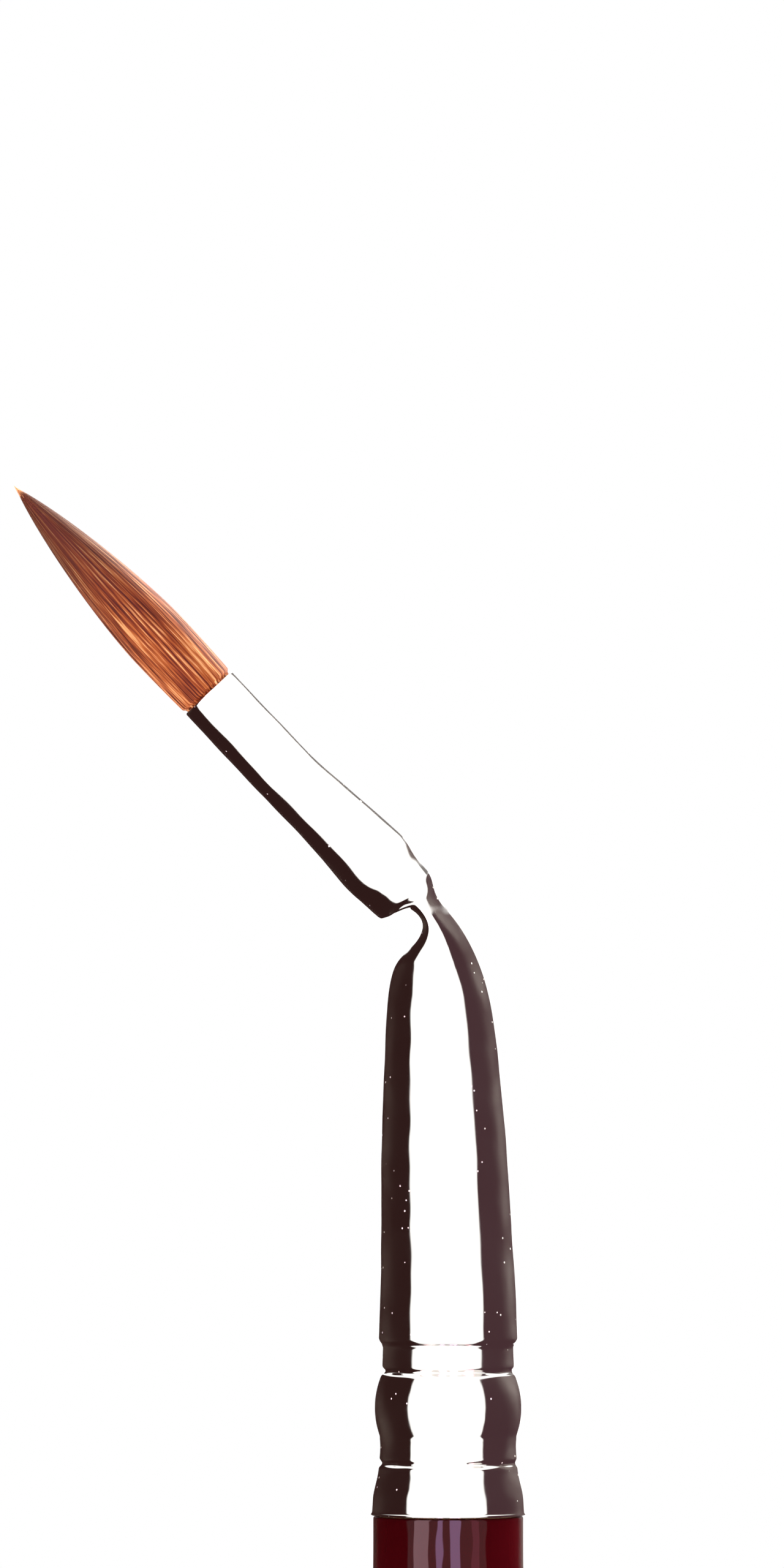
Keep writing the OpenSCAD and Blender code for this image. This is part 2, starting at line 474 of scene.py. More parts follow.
@dataclass(frozen=True)
class SableHair(Finish):
    """Red sable type hair: red-brown, darker towards the belly's end, glassy and pale at the tip."""

    name: str = "red_sable_type_hair"
    # the darkest tone is painted shade, laid where a hair sinks under its neighbour
    slip_shade: str = "#3c1006"
    body: str = "#743016"
    bright: str = "#9f5429"
    pale: str = "#e0a876"
    tip: str = "#f2a878"
    further: str = "#3d1a14"

    def lay(self, tree: Tree, shader: Node) -> None:
        """Lays each hair's own tone with painted shade where it sinks and a painted highlight where it
        rises, and the change of tone along it.

        Args:
            tree: the material's tree.
            shader: its Principled shader.
        """
        tint = add_node(tree, "ShaderNodeAttribute", attribute_name="tint").outputs["Fac"]
        along = add_node(tree, "ShaderNodeAttribute", attribute_name="along").outputs["Fac"]
        lie = add_node(tree, "ShaderNodeAttribute", attribute_name="lie").outputs["Vector"]
        # a hair shows for 1 to 3 mm, about 0.15 mm wide, before it slips under its neighbour
        slips = noise(tree, stretch(tree, lie, (1.0, 1.0, 0.3)), 14.0, 3.0, 0.6)
        # the same noise raises the surface, so the ramp's dark end is painted shade on sunk hairs and
        # its pale end a painted highlight on raised ones, over each hair's own tint
        tone = step(tree, "ADD", step(tree, "MULTIPLY_ADD", slips, 3.2, -1.2), tint)
        stops = [(0.0, self.slip_shade), (0.3, self.body), (0.62, self.bright), (1.0, self.pale)]
        laid = ramp(tree, tone, stops)
        # the further half is a browner maroon
        middle = ranged(tree, along, 0.25, 0.8, 0.0, 0.78)
        browned = paint(tree, middle, laid, linear(self.further))
        tipped = paint(tree, ranged(tree, along, 0.95, 0.99), browned, linear(self.tip))
        feed(shader, {"Base Color": tipped, "Roughness": 0.5, "IOR": 1.55, "Specular IOR Level": 0.08})
        emboss(shader, slips, 0.5, 0.03)
        # light comes through single hairs, so the edge of the tuft glows
        output = shader.outputs["BSDF"].links[0].to_node
        through = add_node(tree, "ShaderNodeBsdfTranslucent", {"Color": tipped}).outputs["BSDF"]
        both = {0: 0.2, 1: shader.outputs["BSDF"], 2: through}
        feed(output, {"Surface": add_node(tree, "ShaderNodeMixShader", both).outputs[0]})


@dataclass(frozen=True)
class BareWood(Finish):
    """Turned birch, sanded and sealed under the coat: pale, close grained, fine lines along it."""

    name: str = "turned_birch"
    pale: str = "#dcc59c"
    dark: str = "#b8935f"
    grain: float = 0.5

    def lay(self, tree: Tree, shader: Node) -> None:
        """Lays grain along the handle.

        Args:
            tree: the material's tree.
            shader: its Principled shader.
        """
        long_way = stretch(tree, own_place(tree), (1.0, 1.0, 0.03))
        fibres = noise(tree, long_way, 1.0 / (self.grain * MM), 4.0)
        tone = ramp(tree, fibres, [(0.3, self.pale), (0.72, self.dark)])
        feed(shader, {"Base Color": tone, "Roughness": 0.55})
        emboss(shader, fibres, 0.3, 0.02)


@dataclass(frozen=True)
class CuredResin(Finish):
    """Glue or resin that set in place: amber, glossy, a little cloudy, with drawn-out ripples."""

    name: str = "cured_resin"
    tone: str = "#b98a3c"
    cloud: str = "#d8b66c"

    def lay(self, tree: Tree, shader: Node) -> None:
        """Lays clouding and ripples.

        Args:
            tree: the material's tree.
            shader: its Principled shader.
        """
        # clouding about 0.8 mm across
        clouds = noise(tree, own_place(tree), 1.0 / (0.8 * MM), 3.0)
        tone = paint(tree, clouds, linear(self.tone), linear(self.cloud))
        feed(shader, {"Base Color": tone, "Roughness": 0.18, "IOR": 1.54})
        emboss(shader, clouds, 0.4, 0.05)


@dataclass(frozen=True)
class TwistedCotton(Finish):
    """Waxed cotton binding thread: off-white, matt, with a slanting twist."""

    name: str = "waxed_cotton_thread"
    pale: str = "#e6dfcf"
    # painted shade for the grooves of the twist
    groove_shade: str = "#a99a7d"
    twist: float = 0.16

    def lay(self, tree: Tree, shader: Node) -> None:
        """Lays the twist of the yarn along the thread, with painted shade in its grooves.

        Args:
            tree: the material's tree.
            shader: its Principled shader.
        """
        surface = add_node(tree, "ShaderNodeUVMap", uv_map="surface").outputs["UV"]
        # the map holds turns round the thread and centimetres along it
        slant = stretch(tree, surface, (1.0, 10.0 / self.twist, 1.0))
        wave = {"Vector": slant, "Scale": 0.32, "Distortion": 0.6}
        yarn = add_node(tree, "ShaderNodeTexWave", wave, bands_direction="DIAGONAL").outputs["Fac"]
        # the wave also sinks the grooves below, so their darker tone is painted shade
        tone = ramp(tree, yarn, [(0.1, self.groove_shade), (0.7, self.pale)])
        feed(shader, {"Base Color": tone, "Roughness": 0.8})
        emboss(shader, yarn, 0.6, 0.01)


@dataclass(frozen=True)
class PaleBoard(Finish):
    """Matt painted studio board for the floor: pale and even."""

    name: str = "matt_studio_board"
    tone: str = "#f4f3f1"

    def lay(self, tree: Tree, shader: Node) -> None:
        """Lays an even matt tone with a barely visible roller texture.

        Args:
            tree: the material's tree.
            shader: its Principled shader.
        """
        feed(shader, {"Base Color": linear(self.tone), "Roughness": 0.9})
        emboss(shader, noise(tree, own_place(tree), 1.0 / (2.0 * MM)), 0.05, 0.02)


# ---- the ferrule's shape


@dataclass
class FerruleShape:
    """The crimped, tapering, bent and kinked tube, as the frame has it."""

    rim_z: float
    length: float = 33.2
    wall: float = 0.14
    body_r: float = 2.755
    taper: float = 0.036
    neck_r: float = 1.14
    neck_from: float = 12.6
    neck_to: float = 28.95
    rim_rise: float = 0.02
    lip_rise: float = 0.06
    band_in: float = 0.16
    groove_in: float = 0.1
    bead_rise: float = 0.22
    cove_in: float = 0.03
    bend: float = 43.2
    lean: float = 1.7
    steep: float = 54.2
    kink_at: float = 22.6
    outer_in: float = 1.08
    far_share: float = 0.86
    buckle_in: float = 0.86
    buckle_turn: float = 30.0
    buckle_arc: float = 52.0
    ripple: float = 0.006
    path_s: np.ndarray = field(init=False)
    path_x: np.ndarray = field(init=False)
    path_z: np.ndarray = field(init=False)

    def __post_init__(self) -> None:
        """Sums the centreline from its heading."""
        count = 332
        step = self.length / count
        heading = np.radians(self.heading((np.arange(count) + 0.5) * step))
        self.path_s = np.arange(count + 1) * step
        self.path_x = np.concatenate([[0.0], np.cumsum(-step * np.sin(heading))])
        self.path_z = np.concatenate([[0.0], np.cumsum(step * np.cos(heading))])

    def heading(self, s: np.ndarray) -> np.ndarray:
        """Gives the centreline's lean from the handle's axis.

        Args:
            s: distances from the rear rim.

        Returns:
            Angles in degrees.
        """
        settled = self.kink_at + 1.54
        return (
            self.lean * smooth(7.0, 9.45, s)
            + (self.steep - self.lean) * smooth(self.kink_at - 2.93, settled, s)
            - (self.steep - self.bend) * smooth(settled, settled + 0.79, s)
            + 3.45 * bell(s, 27.47, 1.61, 1.61)
        )

    def round_r(self, s: np.ndarray) -> np.ndarray:
        """Gives the crimped tube's radius before it was bent.

        Args:
            s: distances from the rear rim.

        Returns:
            Outside radii.
        """
        narrowed = self.body_r - self.taper * self.neck_to - self.neck_r
        cone = self.body_r - self.taper * s - narrowed * smooth(self.neck_from, self.neck_to, s)
        cone = np.where(s >= self.neck_to, self.neck_r, cone)
        return (
            cone
            + self.rim_rise * (1.0 - smooth(0.0, 1.2, s))
            + self.lip_rise * (1.0 - smooth(0.03, 0.13, s))
            - self.band_in * (smooth(0.6, 1.75, s) - smooth(6.05, 6.45, s))
            + self.bead_rise * arch(s, 2.87, 5.15)
            - self.cove_in * arch(s, 1.95, 2.8)
            - self.groove_in * (bell(s, 1.9, 0.11, 0.11) + bell(s, 5.24, 0.1, 0.1))
        )

    def depths(self, s: np.ndarray) -> tuple[np.ndarray, np.ndarray, np.ndarray]:
        """Gives the section's half-depths in the plane of the bend.

        Args:
            s: distances from the rear rim.

        Returns:
            Half-depth of the outer wall, of the plain inner wall and of the buckle.
        """
        tube = self.round_r(s)
        outer = (
            tube
            - self.outer_in * bell(s, self.kink_at + 0.35, 2.69, 0.82)
            + 0.52 * bell(s, self.kink_at + 0.41, 0.62, 0.62)
        )
        buckled = (
            tube
            - self.buckle_in * bell(s, self.kink_at - 0.2, 1.87, 0.26)
            - 0.59 * bell(s, self.kink_at - 1.1, 0.93, 0.93)
        )
        return outer, tube - self.far_share * (tube - buckled), buckled

    def hand_marks(self, s: np.ndarray, turn: np.ndarray) -> np.ndarray:
        """Gives the small unevenness of a crimped and handled tube.

        Args:
            s: distances from the rear rim.
            turn: angles round the tube, in degrees.

        Returns:
            Radial offsets.
        """
        angle = np.radians(turn)
        plain = smooth(6.3, 8.0, s)
        waves = (
            np.sin(s * 1.1 + 2.0 * angle)
            + 0.7 * np.sin(s * 2.3 - 3.0 * angle + 1.0)
            + 0.4 * np.sin(s * 4.1 + 5.0 * angle + 2.0)
        )
        jaws = np.cos(9.0 * angle + 0.6) + 0.5 * np.cos(4.0 * angle + 2.0)
        grooves = bell(s, 1.9, 0.11, 0.11) + bell(s, 5.24, 0.1, 0.1)
        fine = np.sin(s * 9.0 + 7.0 * angle) * np.sin(s * 5.0 - 11.0 * angle + 1.0)
        score = 0.02 * (1.0 + np.sin(3.0 * angle + 0.4)) * bell(s, 6.22, 0.035, 0.035)
        return self.ripple * waves * plain + 0.0012 * fine + 0.02 * jaws * grooves - score

    def points(self, s: np.ndarray, turn: np.ndarray, inset: float) -> np.ndarray:
        """Places points of the tube's skin.

        Args:
            s: distances from the rear rim.
            turn: angles round the tube in degrees, 0 on the outer side of the bend.
            inset: depth below the outer surface.

        Returns:
            Points in millimetres in the row frame, in an array with a last axis of 3.
        """
        outer, inner, buckled = self.depths(s)
        tube = self.round_r(s)
        middle = (outer + inner) / 2.0
        half_width = np.sqrt(2.0 * tube * tube - middle * middle)
        cosine, sine = np.cos(np.radians(turn)), np.sin(np.radians(turn))
        away = np.abs(turn - 180.0 - self.buckle_turn)
        share = np.exp(-((np.minimum(away, 360.0 - away) / self.buckle_arc) ** 2))
        drop = inset - self.hand_marks(s, turn)
        fold = np.abs(cosine) ** (1.0 - 0.5 * smooth(0.0, 0.3, tube - buckled))
        outwards = (outer - drop) * cosine
        inwards = (inner - drop) * (1.0 - share) * cosine - (buckled - drop) * share * fold
        across = (half_width - drop) * sine
        depth = np.where(cosine > 0.0, outwards, inwards)
        lean = np.radians(self.heading(s))
        x = np.interp(s, self.path_s, self.path_x) + depth * np.cos(lean)
        z = np.interp(s, self.path_s, self.path_z) + depth * np.sin(lean)
        return np.stack([x, across, z + self.rim_z], axis=-1)

    def mouth(self) -> Matrix:
        """Gives the frame at the middle of the mouth.

        Returns:
            Matrix in metres whose Z runs out along the hair.
        """
        place = Vector((self.path_x[-1], 0.0, self.rim_z + self.path_z[-1])) * MM
        return Matrix.Translation(place) @ Matrix.Rotation(math.radians(-self.bend), 4, "Y")


# ---- sub-assemblies


@dataclass
class Handle:
    """Turned core, which the frame gives, under a thin dipped coat."""

    rim_z: float
    tail_z: float
    grip_r: float = 3.5
    grip_half: float = 5.0
    shoulder_r: float = 2.72
    tail_r: float = 1.5
    coat: float = 0.06
    sides: int = 128

    def radius(self, z: float) -> float:
        """Gives the lacquered handle's radius.

        Args:
            z: height in the row frame.

        Returns:
            The radius there.
        """
        if z > self.grip_half:
            share = float(smooth(self.grip_half, self.rim_z - 1.0, np.array(z)))
            return self.grip_r - (self.grip_r - self.shoulder_r) * share
        if z >= -self.grip_half:
            return self.grip_r
        run = -self.tail_z - self.tail_r - self.grip_half
        share = min(1.0, max(0.0, (-z - self.grip_half) / run))
        return self.tail_r + (self.grip_r - self.tail_r) * math.cos(math.pi / 2 * share) ** 1.3

    def profile(self, inset: float, top: float) -> list[tuple[float, float]]:
        """Traces the handle from the tail's pole up to the shoulder.

        Args:
            inset: depth below the lacquer's surface.
            top: height of the last point.

        Returns:
            Radius and height pairs.
        """
        tail_r = self.tail_r - inset
        low = self.tail_z + self.tail_r
        points = [
            (tail_r * math.sin(a), low - tail_r * math.cos(a))
            for a in np.linspace(0.0, math.pi / 2, 14)[:-1]
        ]
        heights = np.concatenate(
            [
                np.linspace(low, -self.grip_half, 90)[:-1],
                np.linspace(-self.grip_half, self.grip_half, 9)[:-1],
                np.linspace(self.grip_half, top, 50),
            ]
        )
        return points + [(self.radius(float(z)) - inset, float(z)) for z in heights]

    def build(self) -> Piece:
        """Makes the coat as a closed thin skin with a rounded lip at the shoulder.

        Returns:
            The coat.
        """
        lip = self.rim_z - 0.03
        outside = self.profile(0.0, self.rim_z - 0.12)
        outside += [
            (self.shoulder_r - 0.06 * (1.0 - math.cos(a)), lip - 0.09 * (1.0 - math.sin(a)))
            for a in np.linspace(0.2, math.pi / 2, 5)
        ]
        inside = self.profile(self.coat, self.rim_z - 0.12)[::-1]
        middle = [(self.shoulder_r - 0.16, lip), (self.shoulder_r - 0.16, self.rim_z - 0.08)]
        return lathe("lacquer_skin", outside + middle + inside, self.sides)

    def dress(self, skin: Piece) -> None:
        """Dresses the coat and the core, and puts the coat on the brush.

        Args:
            skin: the coat from build.
        """
        mount(skin, BurgundyLacquer().build(), Part.LACQUER_COAT)
        wear(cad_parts[Part.HANDLE_CORE.value], BareWood().build())
        LOG.info("handle_core: frame node in turned birch")


@dataclass
class Ferrule:
    """Seamless plated tube, with its glue and resin inside."""

    shape: FerruleShape
    sides: int = 128

    def stations(self, stops: Sequence[tuple[float, float, int]]) -> np.ndarray:
        """Spaces rings evenly over each run of from, to and count."""
        return np.concatenate([np.linspace(a, b, n, endpoint=False) for a, b, n in stops])

    def build(self) -> Piece:
        """Makes the tube as one closed wall with rounded lips.

        Returns:
            The tube. Its UV map holds turns and centimetres along it.
        """
        shape, half = self.shape, self.shape.wall / 2.0
        arcs = np.linspace(0.0, math.pi, 7)
        # the rings crowd at the crimps and the kink
        outer = [(0.1, 1.6, 40), (1.6, 2.3, 40), (2.3, 5.0, 50), (5.0, 5.5, 40), (5.5, 6.0, 10)]
        outer += [(6.0, 6.5, 36), (6.5, 18.4, 80), (18.4, 24.4, 130), (24.4, 33.12, 50)]
        inner = [(33.12, 24.4, 20), (24.4, 18.4, 50), (18.4, 6.7, 16), (6.7, 0.1, 50)]
        rings = [(s, 0.0) for s in self.stations(outer)]
        rings += [(shape.length - 0.07 + 0.07 * math.sin(a), half - half * math.cos(a)) for a in arcs]
        rings += [(s, shape.wall) for s in self.stations(inner)]
        rings += [(0.09 - 0.09 * math.sin(a), half + half * math.cos(a)) for a in arcs]
        turns = np.arange(self.sides) * 360.0 / self.sides
        rows = [shape.points(np.full(self.sides, s), turns, inset) for s, inset in rings]
        faces = ring_faces(len(rows), self.sides, True)
        uvs = ring_uvs([s / 10.0 for s, _ in rings + rings[:1]], self.sides)
        return make_object("ferrule_tube", np.concatenate(rows) * MM, faces, np.array(uvs))

    def dress(self, tube: Piece) -> None:
        """Dresses the tube and what is set inside it.

        Args:
            tube: the tube from build.
        """
        mount(tube, NickelPlate().build(), Part.FERRULE)
        wear(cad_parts[Part.TENON_GLUE.value], CuredResin("cured_tenon_glue").build())
        wear(
            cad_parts[Part.ROOT_RESIN.value],
            CuredResin("cured_root_resin", "#a8762e", "#cf9f55").build(),
        )
        LOG.info("tenon_glue and root_resin: frame nodes in cured resin")


@dataclass
class StrandTree:
    """Geometry tree that lays hairs side by side under a swelling, tapering outline."""

    name: str = "laid_hairs"

    def build(self) -> None:
        """Builds the tree; its inputs carry the sizes, in metres."""
        self.tree = bpy.data.node_groups.new(self.name, "GeometryNodeTree")
        face = self.tree.interface
        counts = {"Strands": 100, "Rings": 12, "Sides": 4}
        sizes = {"Inside": 0.0, "Start": 0.0, "End": 0.01, "Shortest": 0.8, "Neck Radius": 0.001}
        sizes |= {"Bore Share": 1.0, "Belly Radius": 0.0012, "Belly At": 0.0027, "Tip At": 0.0103}
        sizes |= {"Hair Radius": 0.00004, "Fineness": 0.8, "Groove": 0.08, "Wander": 0.2}
        for kind, values in (("NodeSocketInt", counts), ("NodeSocketFloat", sizes)):
            for name, default in values.items():
                face.new_socket(name=name, in_out="INPUT", socket_type=kind).default_value = default
        face.new_socket(name="Finish", in_out="INPUT", socket_type="NodeSocketMaterial")
        face.new_socket(name="Geometry", in_out="OUTPUT", socket_type="NodeSocketGeometry")
        self.size = add_node(self.tree, "NodeGroupInput").outputs
        solid = self.thicken(self.shape_hairs(self.lay_roots()))
        real = self.geometry("RealizeInstances", {"Geometry": solid})
        dressed = self.geometry("SetMaterial", {"Geometry": real, "Material": self.size["Finish"]})
        add_node(self.tree, "NodeGroupOutput", {"Geometry": dressed})

    def do(self, operation: str, *values: Value) -> Socket:
        """Adds a math step and gives its result."""
        return step(self.tree, operation, *values)

    def geometry(self, kind: str, inputs: Inputs) -> Socket:
        """Adds a geometry step and gives its first output."""
        return add_node(self.tree, "GeometryNode" + kind, inputs).outputs[0]

    def random(self, low: Value, high: Value, seed: int) -> Socket:
        """Adds a seeded random number for each point."""
        inputs = {2: low, 3: high, 8: seed}
        return add_node(self.tree, "FunctionNodeRandomValue", inputs, data_type="FLOAT").outputs[1]

    def vector(self, operation: str, inputs: Inputs) -> Socket:
        """Adds a vector step and gives its result."""
        return add_node(self.tree, "ShaderNodeVectorMath", inputs, operation=operation).outputs[0]

    def join(self, parts: Inputs) -> Socket:
        """Joins numbers into a vector; parts left out are 0."""
        return add_node(self.tree, "ShaderNodeCombineXYZ", parts).outputs[0]

    def mark(self, geometry: Socket, name: str, value: Socket, kind: str = "FLOAT") -> Socket:
        """Stores a named value on every point."""
        inputs = {"Geometry": geometry, "Name": name, "Value": value}
        store = "GeometryNodeStoreNamedAttribute"
        return add_node(self.tree, store, inputs, data_type=kind, domain="POINT").outputs[0]

    def read(self, name: str) -> Socket:
        """Reads a named value."""
        kind = "GeometryNodeInputNamedAttribute"
        return add_node(self.tree, kind, {"Name": name}, data_type="FLOAT").outputs[0]

    def lay_roots(self) -> Socket:
        """Spreads the roots over a unit disc in a sunflower pattern and marks each.

        Returns:
            Points that carry each hair's tone, reach and wander.
        """
        size = self.size
        index = self.geometry("InputIndex", {})
        share = self.do("DIVIDE", self.do("ADD", index, 0.5), size["Strands"])
        depth = self.do("SUBTRACT", 1.0, size["Inside"])
        out = self.do("MULTIPLY_ADD", self.do("SQRT", share), depth, size["Inside"])
        turn = self.do("MULTIPLY", index, 2.399963)
        x = self.do("MULTIPLY", out, self.do("COSINE", turn))
        y = self.do("MULTIPLY", out, self.do("SINE", turn))
        place = self.join({0: x, 1: y})
        points = self.geometry("Points", {"Count": size["Strands"], "Position": place})
        points = self.mark(points, "tint", self.random(-0.14, 0.2, SEED))
        points = self.mark(points, "reach", self.random(size["Shortest"], 1.0, SEED + 1))
        return self.mark(points, "wander", self.random(-1.0, 1.0, SEED + 2))

    def shape_hairs(self, points: Socket) -> Socket:
        """Stands a hair on each root and shapes it under the outline.

        Args:
            points: the marked roots.

        Returns:
            Curves in metres, Z along the hair.
        """
        size = self.size
        line = self.geometry("CurvePrimitiveLine", {"End": (0.0, 0.0, 1.0)})
        stepped = self.geometry("ResampleCurve", {"Curve": line, "Count": size["Rings"]})
        placed = self.geometry("InstanceOnPoints", {"Points": points, "Instance": stepped})
        curves = self.geometry("RealizeInstances", {"Geometry": placed})
        position = self.geometry("InputPosition", {})
        place = add_node(self.tree, "ShaderNodeSeparateXYZ", {0: position}).outputs
        curves = self.mark(curves, "along", place[2])
        along = self.read("along")
        run = self.do("SUBTRACT", size["End"], size["Start"])
        gone = self.do("MULTIPLY", along, self.read("reach"))
        height = self.do("MULTIPLY_ADD", gone, run, size["Start"])
        reach = self.outline(height)
        wander = self.do("MULTIPLY", self.read("wander"), size["Wander"])
        sway = self.do("MULTIPLY", wander, self.do("POWER", along, 1.5))
        flat = self.join({0: place[0], 1: place[1]})
        turned = {"Vector": flat, "Angle": sway}
        swept = add_node(self.tree, "ShaderNodeVectorRotate", turned, rotation_type="Z_AXIS").outputs[0]
        # shallow furrows between locks, which follow the hairs
        furrows = noise(self.tree, flat, 5.5)
        sunk = self.do("SUBTRACT", 1.0, self.do("MULTIPLY", furrows, size["Groove"]))
        spread = self.vector("SCALE", {0: swept, "Scale": self.do("MULTIPLY", reach, sunk)})
        rim = self.vector("NORMALIZE", {0: swept})
        lie = self.vector("ADD", {0: rim, 1: self.join({2: gone})})
        curves = self.mark(curves, "lie", lie, "FLOAT_VECTOR")
        final = self.vector("ADD", {0: spread, 1: self.join({2: height})})
        return self.geometry("SetPosition", {"Geometry": curves, "Position": final})

    def outline(self, height: Socket) -> Socket:
        """Gives the tuft's outline radius, less one hair.

        Args:
            height: distance past the mouth.

        Returns:
            The radius.
        """
        size, tree = self.size, self.tree
        up = ranged(tree, height, 0.0, size["Belly At"], kind="LINEAR")
        short = self.do("POWER", self.do("SUBTRACT", 1.0, up), 2.0)
        swell = self.do("SUBTRACT", size["Belly Radius"], size["Neck Radius"])
        rising = self.do("SUBTRACT", size["Belly Radius"], self.do("MULTIPLY", swell, short))
        down = ranged(tree, height, size["Belly At"], size["Tip At"], kind="LINEAR")
        rest = self.do("SUBTRACT", 1.0, self.do("POWER", down, 1.55))
        closing = self.do("POWER", rest, 0.8)
        bore = ranged(tree, height, -0.05 * MM, 0.18 * MM, size["Bore Share"])
        full = self.do("MULTIPLY", self.do("MULTIPLY", rising, closing), bore)
        return self.do("MAXIMUM", self.do("SUBTRACT", full, size["Hair Radius"]), 0.0)

    def thicken(self, hairs: Socket) -> Socket:
        """Gives each hair its fine, tapering thickness.

        Args:
            hairs: the shaped curves.

        Returns:
            The hairs as a mesh.
        """
        worn = self.do("POWER", self.read("along"), 3.0)
        share = self.do("SUBTRACT", 1.0, self.do("MULTIPLY", worn, self.size["Fineness"]))
        thick = self.do("MULTIPLY", share, self.size["Hair Radius"])
        circle = {"Resolution": self.size["Sides"], "Radius": 1.0}
        section = self.geometry("CurvePrimitiveCircle", circle)
        inputs = {"Curve": hairs, "Profile Curve": section, "Scale": thick, "Fill Caps": True}
        return self.geometry("CurveToMesh", inputs)

    def grow(self, name: str, sizes: dict[str, Value], place: Matrix) -> Piece:
        """Runs the tree on an empty mesh and keeps the result as a plain mesh.

        Args:
            name: the piece's name.
            sizes: input name to value.
            place: where the mouth is, in metres.

        Returns:
            The piece, with no modifier, at the origin.
        """
        seedling = add_piece(name + "_seed", bpy.data.meshes.new(name + "_seed"))
        modifier = seedling.modifiers.new("hairs", "NODES")
        modifier.node_group = self.tree
        for item in self.tree.interface.items_tree:
            if item.in_out == "INPUT" and item.name in sizes:
                modifier[item.identifier] = sizes[item.name]
        graph = bpy.context.evaluated_depsgraph_get()
        mesh = bpy.data.meshes.new_from_object(seedling.evaluated_get(graph))
        bpy.data.objects.remove(seedling)
        mesh.name = name
        mesh.transform(place)
        mesh.polygons.foreach_set("use_smooth", [True] * len(mesh.polygons))
        mesh.update()
        return add_piece(name, mesh)


@dataclass
class Head:
    """Hair: the free tuft, the bundle set in the tube, and the thread that binds it."""

    shape: FerruleShape
    length: float = 10.3
    belly_r: float = 1.23
    neck_r: float = 1.17
    bore_r: float = 0.97
    belly_at: float = 2.7
    hair_r: float = 0.05
    strands: int = 190
    bundle_r: float = 0.93
    bundle_len: float = 8.0
    root_strands: int = 260
    thread_r: float = 0.055
    thread_turns: float = 4.2

    def outline(self, d: float) -> float:
        """Gives the tuft's outline radius at a distance past the mouth."""
        up = min(1.0, max(0.0, d / self.belly_at))
        rising = self.belly_r - (self.belly_r - self.neck_r) * (1.0 - up) ** 2
        bore = self.bore_r / self.neck_r
        bore += (1.0 - bore) * float(smooth(-0.05, 0.18, np.array(d)))
        down = min(1.0, max(0.0, (d - self.belly_at) / (self.length - self.belly_at)))
        return rising * bore * (1.0 - down**1.55) ** 0.8

    def build_tuft(self, tree: StrandTree, hair: Material) -> Piece:
        """Grows the free hair.

        Args:
            tree: the strand tree.
            hair: the hair's material.

        Returns:
            The tuft.
        """
        sizes = {"Strands": self.strands, "Rings": 13, "Sides": 6, "Inside": 0.87, "Finish": hair}
        sizes |= {"Groove": 0.12, "Wander": 0.22, "Fineness": 0.85, "Shortest": 0.55}
        sizes |= {"Start": -0.35 * MM, "End": self.length * MM, "Tip At": self.length * MM}
        sizes |= {"Neck Radius": self.neck_r * MM, "Bore Share": self.bore_r / self.neck_r}
        sizes |= {"Belly Radius": self.belly_r * MM, "Belly At": self.belly_at * MM}
        sizes["Hair Radius"] = self.hair_r * MM
        return tree.grow("hair_tuft_strands", sizes, self.shape.mouth())

    def build_heart(self) -> Piece:
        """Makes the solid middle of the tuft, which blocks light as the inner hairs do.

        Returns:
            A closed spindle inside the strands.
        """
        top = self.length * 0.985
        heights = np.concatenate([np.linspace(-0.3, 0.3, 9)[:-1], np.linspace(0.3, top, 60)])
        body = [(max(0.02, self.outline(float(d)) - 0.055), float(d)) for d in heights]
        profile = [(0.0, -0.3), *body, (0.0, self.length * 0.99)]
        heart = lathe("hair_tuft_heart", profile, 96)
        along = heart.data.attributes.new("along", "FLOAT", "POINT")
        along.data.foreach_set("value", [v.co.z / MM / self.length for v in heart.data.vertices])
        tint = heart.data.attributes.new("tint", "FLOAT", "POINT")
        tint.data.foreach_set("value", [0.0] * len(heart.data.vertices))
        lie = heart.data.attributes.new("lie", "FLOAT_VECTOR", "POINT")
        for vertex, mark in zip(heart.data.vertices, lie.data):
            flat = Vector((vertex.co.x, vertex.co.y, 0.0)).normalized()
            mark.vector = (flat.x, flat.y, vertex.co.z / MM / self.length)
        heart.data.transform(self.shape.mouth())
        return heart

    def build_roots(self, tree: StrandTree, hair: Material) -> Piece:
        """Grows the straight bundle inside the tube.

        Args:
            tree: the strand tree.
            hair: the hair's material.

        Returns:
            The bundle.
        """
        sizes = {"Strands": self.root_strands, "Rings": 6, "Sides": 5, "Inside": 0.0, "Finish": hair}
        sizes |= {"Groove": 0.0, "Wander": 0.05, "Fineness": 0.0, "Shortest": 1.0}
        sizes |= {"Start": -self.bundle_len * MM, "End": -0.4 * MM, "Tip At": 50.0 * MM}
        sizes |= {"Neck Radius": self.bundle_r * MM, "Belly Radius": self.bundle_r * MM}
        sizes |= {"Belly At": 5.0 * MM, "Hair Radius": 0.042 * MM}
        return tree.grow("hair_root_bundle", sizes, self.shape.mouth())

    def build_thread(self) -> Piece:
        """Winds the binding thread round the bundle as one helix.

        Returns:
            The thread, closed at both ends.
        """
        count, sides = 190, 10
        radius = 0.95 - self.thread_r
        pitch = 2.08 * self.thread_r
        low = -self.bundle_len + 1.6
        rows = []
        angles = np.arange(sides) * 2.0 * math.pi / sides
        for at in range(count):
            turn = at / (count - 1) * self.thread_turns * 2.0 * math.pi
            outwards = np.array([math.cos(turn), math.sin(turn), 0.0])
            centre = outwards * radius + np.array([0.0, 0.0, low + pitch * turn / 2.0 / math.pi])
            thin = self.thread_r * min(1.0, 0.35 + min(at, count - 1 - at) / 3.0)
            rows.append(
                centre
                + thin * (np.cos(angles)[:, None] * outwards + np.sin(angles)[:, None] * [0, 0, 1])
            )
        vertices = np.concatenate(rows) * MM
        faces: list[Sequence[int]] = list(ring_faces(count, sides, False))
        walk = self.thread_turns * 2.0 * math.pi * radius / 10.0 / (count - 1)
        uvs = ring_uvs([at * walk for at in range(count)], sides)
        faces += [tuple(range(sides)), tuple(range((count - 1) * sides, count * sides))[::-1]]
        uvs += [(0.5, 0.0)] * sides + [(0.5, 1.0)] * sides
        thread = make_object("binding_helix", vertices, faces, np.array(uvs))
        thread.data.transform(self.shape.mouth())
        return thread

